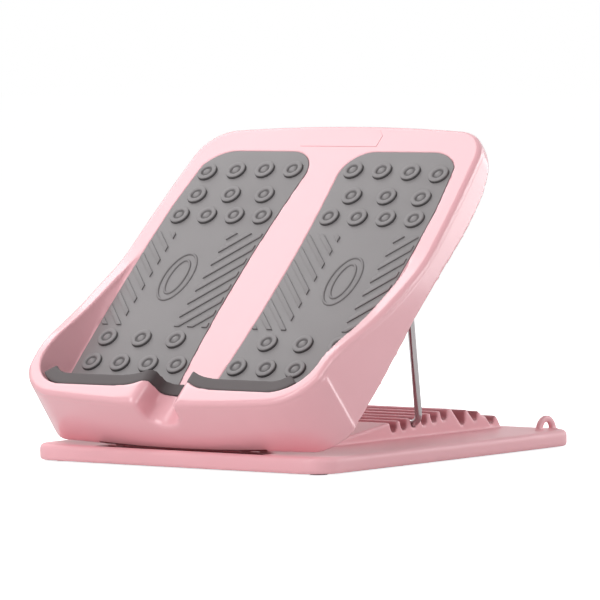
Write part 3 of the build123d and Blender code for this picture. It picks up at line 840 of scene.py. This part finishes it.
def clip_inside(loop, border):
    """Polygon cut to a pad's long side edges, whose line is near straight beside each ridge."""
    if len(loop) < 3:
        return []
    middle = sum((p.y for p in loop)) / len(loop)
    crossings = []
    for a, b in zip(border, border[1:] + border[:1]):
        if (a.y - middle) * (b.y - middle) < 0:
            share = (middle - a.y) / (b.y - a.y)
            crossings.append((a.x + share * (b.x - a.x), (b - a).normalized()))
    crossings.sort(key=lambda c: c[0])
    for place, inward in ((crossings[0], 1), (crossings[-1], -1)):
        normal = Vector((abs(place[1].y), -place[1].x * math.copysign(1, place[1].y))) * inward
        loop = clip_half(loop, Vector((place[0], middle)), normal)
    return loop


def raised_bars(name, loops, height, edge):
    """Low bars with rounded top edges on flat outlines."""
    made = bmesh.new()
    for loop in loops:
        area = sum(a.cross(b) for a, b in zip(loop, loop[1:] + loop[:1]))
        loop = loop if area > 0 else loop[::-1]
        loop = [p for i, p in enumerate(loop) if (p - loop[i - 1]).length > 2e-4]
        rings = [(0.0, -0.0006), (0.0, height - edge)]
        rings += [(edge * 0.3, height - edge * 0.3), (edge, height)]
        previous = None
        for inset, level in rings:
            ring = [made.verts.new((p.x, p.y, PAD_TOP + level)) for p in inset_loop(loop, inset)]
            count = len(ring)
            if previous is None:
                made.faces.new(ring[::-1])
            else:
                for i in range(count):
                    j = (i + 1) % count
                    made.faces.new((previous[i], previous[j], ring[j], ring[i]))
            previous = ring
        made.faces.new(previous)
    mesh = bpy.data.meshes.new(name)
    made.to_mesh(mesh)
    made.free()
    return mesh


def raised_ring(made, centre, half_x, half_y, width, height):
    """Half-round bead along an oval, added to a mesh in the making."""
    steps, profile = 72, 8
    rings = []
    for step in range(steps):
        turn = 2 * math.pi * step / steps
        normal = Vector((math.cos(turn) / half_x, math.sin(turn) / half_y)).normalized()
        middle = Vector((centre[0] + half_x * math.cos(turn), centre[1] + half_y * math.sin(turn)))
        ring = []
        for part in range(profile + 1):
            lean = math.pi * part / profile
            place = middle + normal * (width / 2 * math.cos(lean))
            level = PAD_TOP - 0.0004 + (height + 0.0004) * math.sin(lean)
            ring.append(made.verts.new((place.x, place.y, level)))
        rings.append(ring)
    for i in range(steps):
        one, two = rings[i], rings[(i + 1) % steps]
        for part in range(profile):
            made.faces.new((one[part], two[part], two[part + 1], one[part + 1]))
        made.faces.new((one[profile], two[profile], two[0], one[0]))


def joined(name, meshes):
    made = bmesh.new()
    for mesh in meshes:
        made.from_mesh(mesh)
    mesh = bpy.data.meshes.new(name)
    made.to_mesh(mesh)
    made.free()
    return mesh


nub_tree = instances_tree("nubs_on_points")


def nub_places(sign):
    """Middles of one pad's nubs."""
    places = []
    for y, count, first, last, sag in NUB_ROWS:
        for index in range(count):
            along = index / (count - 1)
            places.append((sign * (first + along * (last - first)), y - sag * along ** 2))
    return places


def nubs(name, sign):
    """All nubs of one pad, set out by Geometry Nodes."""
    points = [(x, y, PAD_TOP) for x, y in nub_places(sign)]
    mesh = bpy.data.meshes.new(name + "_places")
    mesh.from_pydata(points, [], [])
    carrier = new_object(name + "_carrier", mesh)
    shape = new_object(name + "_shape", lathe(name + "_shape", nub_section(), 40))
    spread = carrier.modifiers.new("spread", "NODES")
    spread.node_group = nub_tree
    sockets = {s.name: s.identifier for s in nub_tree.interface.items_tree if s.in_out == "INPUT"}
    spread[sockets["Nub"]] = shape
    spread[sockets["Size"]] = 1.0
    spread[sockets["Material"]] = pad_rubber
    made = baked(name, carrier)
    bpy.data.objects.remove(shape)
    mesh = made.data
    bpy.data.objects.remove(made)
    return mesh


def slab_painted_shade(mesh):
    """Painted shade on the slab's side, which stands in the gap round the pad."""
    return 0.9 * (corners_of(mesh)[:, 2] < PAD_TOP - 0.0006)


def low_painted_shade(mesh):
    """Painted shade at the foot of a ridge's sides."""
    level = (corners_of(mesh)[:, 2] - PAD_TOP) / RIDGE_HEIGHT
    return 0.95 - 0.9 * smooth_step(level, 0.1, 0.95)


def nub_painted_shade(mesh, sign):
    """Painted shade at the foot of a nub's side and the bottom of its dish."""
    co = corners_of(mesh)
    nearest = np.full(len(co), 1.0)
    for x, y in nub_places(sign):
        nearest = np.minimum(nearest, np.hypot(co[:, 0] - x, co[:, 1] - y))
    level = (co[:, 2] - PAD_TOP) / NUB_HEIGHT
    side = (nearest > NUB_RADIUS - 0.0004) * (1 - 0.35 * smooth_step(level, 0.0, 1.0))
    dish = (nearest < NUB_RADIUS - 0.0038) * (1 - smooth_step(level, 0.3, 0.9))
    return np.maximum(side * 0.95, dish * (nearest > 0.0015) * 0.6)


def foot_pad(side, sign):
    node = "foot_pad_" + side
    loop = pad_loop(node)
    slab = pad_slab("slab", loop, -0.0022)
    bars = raised_bars("bars", ridge_loops(loop, sign), RIDGE_HEIGHT, 0.0005)
    rings = bmesh.new()
    for half_x, half_y in OVALS:
        raised_ring(rings, (sign * RIDGE_MIDDLE, OVAL_PLACE), half_x, half_y, OVAL_WIDTH, OVAL_HEIGHT)
    ring_mesh = bpy.data.meshes.new("rings")
    bmesh.ops.recalc_face_normals(rings, faces=rings.faces)
    rings.to_mesh(ring_mesh)
    rings.free()
    buttons = nubs("nubs_" + side, sign)
    mesh = joined("massage_pad_" + side, [slab, buttons, bars, ring_mesh])
    # Painted shade round the nubs, ridges, ovals and the pad's edge.
    paint_crevice_shade(mesh, np.concatenate([
        slab_painted_shade(slab), nub_painted_shade(buttons, sign),
        low_painted_shade(bars), 0.6 * low_painted_shade(ring_mesh),
    ]))
    mesh.transform(deck_place)
    pad = new_object("massage_pad_" + side, mesh)
    dress(pad, pad_rubber, "deck", [node], 50.0)


foot_pad("left", -1)
foot_pad("right", 1)

# ---------------------------------------------------------------- bare toe panel

PANEL = [(0.045, 0.3640), (0.045, 0.3786), (0.0386, 0.3860), (0.031, 0.3880)]


def toe_panel():
    """Bare raised panel on the toe rim."""
    loop = [Vector(place) for place in PANEL] + [Vector((-x, y)) for x, y in PANEL[::-1]]
    mesh = raised_bars("toe_panel", [loop], 0.0001, 0.00025)
    mesh.transform(deck_place)
    panel = new_object("toe_panel", mesh)
    dress(panel, deck_plastic, "deck", (), 15.0)


toe_panel()

# ---------------------------------------------------------------- wire prop

WIRE_RADIUS = 0.0035
PROP_HALF = 0.1055
PROP_END = 0.1245
WIRE_BEND = 0.0095
PROP_SHOULDER = 0.006
bar_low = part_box("prop_wire")[0]
bar_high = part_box("prop_wire")[1]
BAR = Vector((0, bar_high.y - WIRE_RADIUS, bar_low.z + WIRE_RADIUS))


def rounded_path(corners, bends, steps):
    """Points along straight runs with round bends between them."""
    path = [corners[0]]
    for before, here, after, bend in zip(corners, corners[1:], corners[2:], bends):
        back = (before - here).normalized()
        onward = (after - here).normalized()
        corner = back.angle(onward)
        cut = bend / math.tan(corner / 2)
        centre = here + (back + onward).normalized() * bend / math.sin(corner / 2)
        one, two = here + back * cut - centre, here + onward * cut - centre
        sweep = one.angle(two)
        for step in range(steps + 1):
            share = step / steps
            point = math.sin((1 - share) * sweep) * one + math.sin(share * sweep) * two
            point = point / math.sin(sweep)
            path.append(centre + point)
    return path + [corners[-1]]


def rod(name, path, radius, sides, nose):
    """Round rod along a path that lies in one plane across X, with chamfered ends."""
    made = bmesh.new()
    count = len(path)
    plane = (path[count // 2] - path[0]).cross(path[-1] - path[0]).normalized()
    rings = []
    stations = [(path[0], path[1] - path[0], radius - nose)]
    stations.append((path[0] + (path[1] - path[0]).normalized() * nose, path[1] - path[0], radius))
    for before, here, after in zip(path, path[1:], path[2:]):
        stations.append((here, (here - before).normalized() + (after - here).normalized(), radius))
    last = path[-1] - path[-2]
    stations.append((path[-1] - last.normalized() * nose, last, radius))
    stations.append((path[-1], last, radius - nose))
    for centre, along, size in stations:
        across = plane.cross(along).normalized()
        ring = []
        for side in range(sides):
            turn = 2 * math.pi * side / sides
            spoke = plane * math.cos(turn) + across * math.sin(turn)
            ring.append(made.verts.new(centre + spoke * size))
        rings.append(ring)
    for low, high in zip(rings, rings[1:]):
        for i in range(sides):
            j = (i + 1) % sides
            made.faces.new((low[i], low[j], high[j], high[i]))
    made.faces.new(rings[0][::-1])
    made.faces.new(rings[-1])
    bmesh.ops.recalc_face_normals(made, faces=made.faces)
    mesh = bpy.data.meshes.new(name)
    made.to_mesh(mesh)
    made.free()
    return mesh


pivot = Vector((0, PIVOT.y, PIVOT.z))
right = Vector((1, 0, 0))
corners = [
    pivot - right * PROP_END, pivot - right * PROP_HALF, BAR - right * PROP_HALF,
    BAR + right * PROP_HALF, pivot + right * PROP_HALF, pivot + right * PROP_END,
]
wire_path = rounded_path(corners, [PROP_SHOULDER, WIRE_BEND, WIRE_BEND, PROP_SHOULDER], 12)
wire = new_object("prop_bail", rod("prop_bail", wire_path, WIRE_RADIUS, 40, 0.0005))
dress(wire, plated_wire, "prop", ["prop_wire"], 40.0)

# ---------------------------------------------------------------- small parts

for side in ("left", "right"):
    clamp = moulded("prop_saddle_" + side, "prop_clamp_" + side, 0.0005, 3, deck_place)
    dress(clamp, base_plastic, "deck", ["prop_clamp_" + side], None)


def smooth_copy(name, node, look, body, angle=35.0):
    """A CAD node's shape with joined faces and smooth shading."""
    piece = new_object(name, merged_copy(node, Matrix.Identity(4)))
    dress(piece, look, body, [node], angle)


smooth_copy("saddle_screws", "clamp_screws", zinc_steel, "deck")
for side in ("left", "right"):
    smooth_copy("hinge_rod_" + side, "hinge_pin_" + side, zinc_steel, "base")
    smooth_copy("spring_nut_" + side, "pin_push_nut_" + side, zinc_steel, "base")
    for row in ("front", "middle", "rear"):
        node = f"rubber_foot_{row}_{side}"
        smooth_copy("grip_" + row + "_" + side, node, foot_rubber, "base")

# ---------------------------------------------------------------- floor, light and camera


def floor():
    mesh = bpy.data.meshes.new("studio_floor")
    size = 30.0
    corners = [(-size, -size, 0), (size, -size, 0), (size, size, 0), (-size, size, 0)]
    mesh.from_pydata(corners, [], [(0, 1, 2, 3)])
    ground = new_object("studio_floor", mesh)
    made, tree, shader = material("studio_paper")
    shader.inputs["Base Color"].default_value = (0.86, 0.86, 0.86, 1.0)
    shader.inputs["Roughness"].default_value = 0.9
    shader.inputs["Specular IOR Level"].default_value = 0.0
    rays = add_node(tree, "ShaderNodeLightPath", (-700, 300))
    shine = add_node(tree, "ShaderNodeMath", (-450, 200), operation="MULTIPLY")
    tree.links.new(rays.outputs["Is Glossy Ray"], shine.inputs[0])
    shine.inputs[1].default_value = 0.20
    glow = add_node(tree, "ShaderNodeMath", (-250, 300), operation="MULTIPLY_ADD")
    tree.links.new(rays.outputs["Is Camera Ray"], glow.inputs[0])
    glow.inputs[1].default_value = 0.90
    tree.links.new(shine.outputs[0], glow.inputs[2])
    shader.inputs["Emission Color"].default_value = (1, 1, 1, 1)
    tree.links.new(glow.outputs[0], shader.inputs["Emission Strength"])
    mesh.materials.append(made)


def world(level):
    """Even studio light, seen as white by the camera and in reflections."""
    made = bpy.data.worlds.new("studio")
    bpy.context.scene.world = made
    made.use_nodes = True
    tree = made.node_tree
    tree.nodes.clear()
    leave = add_node(tree, "ShaderNodeOutputWorld", (500, 0))
    soft = add_node(tree, "ShaderNodeBackground", (0, 100))
    soft.inputs["Color"].default_value = (1.0, 0.995, 0.99, 1.0)
    soft.inputs["Strength"].default_value = level
    white = add_node(tree, "ShaderNodeBackground", (0, -100))
    white.inputs["Color"].default_value = (1, 1, 1, 1)
    white.inputs["Strength"].default_value = 1.0
    rays = add_node(tree, "ShaderNodeLightPath", (-400, 300))
    bright = add_node(tree, "ShaderNodeMath", (-300, 300), operation="MAXIMUM")
    tree.links.new(rays.outputs["Is Camera Ray"], bright.inputs[0])
    tree.links.new(rays.outputs["Is Glossy Ray"], bright.inputs[1])
    clear = add_node(tree, "ShaderNodeMath", (-100, 300), operation="MAXIMUM")
    tree.links.new(bright.outputs[0], clear.inputs[0])
    tree.links.new(rays.outputs["Is Transmission Ray"], clear.inputs[1])
    mix = add_node(tree, "ShaderNodeMixShader", (250, 0))
    tree.links.new(clear.outputs[0], mix.inputs[0])
    tree.links.new(soft.outputs[0], mix.inputs[1])
    tree.links.new(white.outputs[0], mix.inputs[2])
    tree.links.new(mix.outputs[0], leave.inputs["Surface"])


def soft_box(name, place, target, width, height, power):
    lamp = bpy.data.lights.new(name, "AREA")
    lamp.shape = "RECTANGLE"
    lamp.size = width
    lamp.size_y = height
    lamp.energy = power
    holder = bpy.data.objects.new(name, lamp)
    bpy.context.scene.collection.objects.link(holder)
    holder.location = place
    holder.rotation_mode = "QUATERNION"
    holder.rotation_quaternion = (Vector(target) - Vector(place)).to_track_quat("-Z", "Y")


def studio_lamp(name, bearing, rise, width, height, power, reach=2.2):
    """Soft box round the board, by its compass bearing from +X and its height angle."""
    target = Vector((0, 0, 0.12))
    level = math.cos(math.radians(rise))
    along = (math.cos(math.radians(bearing)) * level, math.sin(math.radians(bearing)) * level)
    place = target + Vector((*along, math.sin(math.radians(rise)))) * reach
    soft_box(name, place, target, width, height, power)


floor()
world(0.12)
studio_lamp("overhead_box", 182.0, 53.0, 1.2, 1.2, 10.4, 1.65)
studio_lamp("front_box_high", 270.0, 50.0, 1.1, 1.1, 14.5)
studio_lamp("front_box", 270.0, 20.0, 1.1, 1.1, 13.0)
studio_lamp("low_box", 233.0, 8.0, 1.6, 0.5, 2.5)
studio_lamp("right_box", 0.0, 20.0, 1.1, 1.1, 11.0)
studio_lamp("rear_right_box", 60.0, 12.0, 1.6, 0.9, 15.0)
studio_lamp("rear_box", 135.0, 45.0, 1.6, 1.0, 2.5)

CAMERA_PLACE = Vector((2.8288, -3.81075, 0.3826))
CAMERA_FORWARD = Vector((-0.59479, 0.80235, -0.04961)).normalized()
CAMERA_ROLL = -0.4

level_right = CAMERA_FORWARD.cross(Vector((0, 0, 1))).normalized()
level_up = level_right.cross(CAMERA_FORWARD)
roll = math.radians(CAMERA_ROLL)
camera_right = level_right * math.cos(roll) + level_up * math.sin(roll)
camera_up = level_up * math.cos(roll) - level_right * math.sin(roll)
lens = bpy.data.cameras.new("studio_camera")
lens.sensor_width = 36.0
lens.lens = 301.3
lens.clip_start = 0.1
lens.clip_end = 100.0
camera = bpy.data.objects.new("studio_camera", lens)
bpy.context.scene.collection.objects.link(camera)
camera.matrix_world = Matrix((
    (camera_right.x, camera_up.x, -CAMERA_FORWARD.x, CAMERA_PLACE.x),
    (camera_right.y, camera_up.y, -CAMERA_FORWARD.y, CAMERA_PLACE.y),
    (camera_right.z, camera_up.z, -CAMERA_FORWARD.z, CAMERA_PLACE.z),
    (0, 0, 0, 1),
))
bpy.context.scene.camera = camera
bpy.context.scene.view_settings.view_transform = "Standard"
